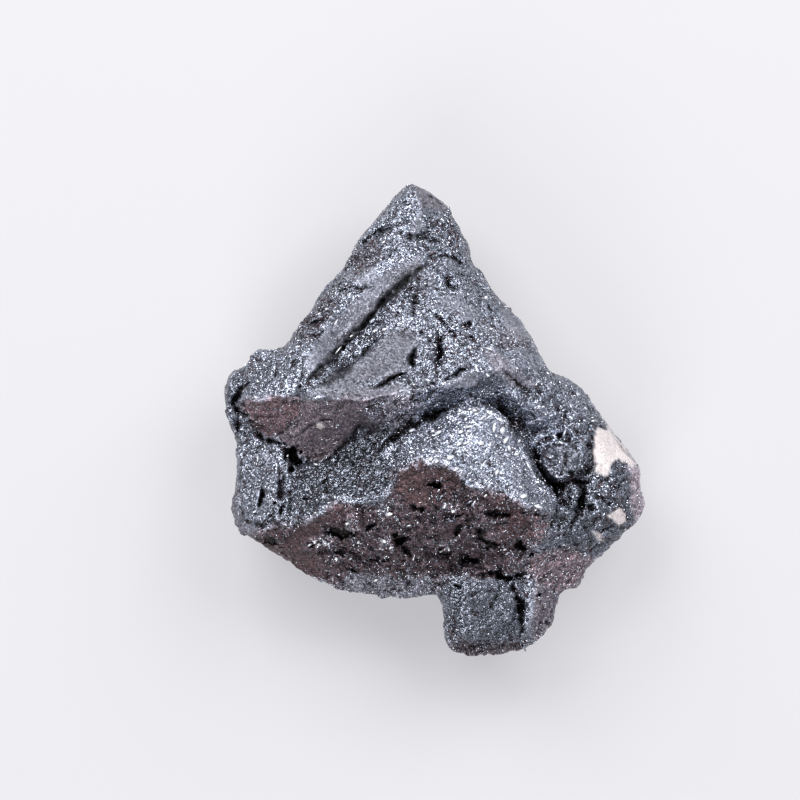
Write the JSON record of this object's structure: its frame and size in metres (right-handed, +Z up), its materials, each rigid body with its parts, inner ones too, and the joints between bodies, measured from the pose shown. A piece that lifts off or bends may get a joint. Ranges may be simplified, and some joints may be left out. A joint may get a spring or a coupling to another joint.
{
  "type": "hematite pseudomorph specimen",
  "caption": "Rough cluster of intergrown hematite crystals after magnetite, with a spear-shaped hopper face, that lies on its flat broken back.",
  "frame": {"origin": "centre of the specimen's box on the surface that it lies on", "axes": "+Z up, out of the best side; +Y towards the tip of the spear-shaped crystal; +X towards the lobe with the pale patch"},
  "size_m": [0.0422, 0.0476, 0.024],
  "materials": {
    "hematite": "sparkling dark steel-grey crystal faces, with dull purple-brown broken sides and one pale crust patch"
  },
  "bodies": {
    "root": {"hematite_cluster": "hematite"}
  },
  "joints": []
}
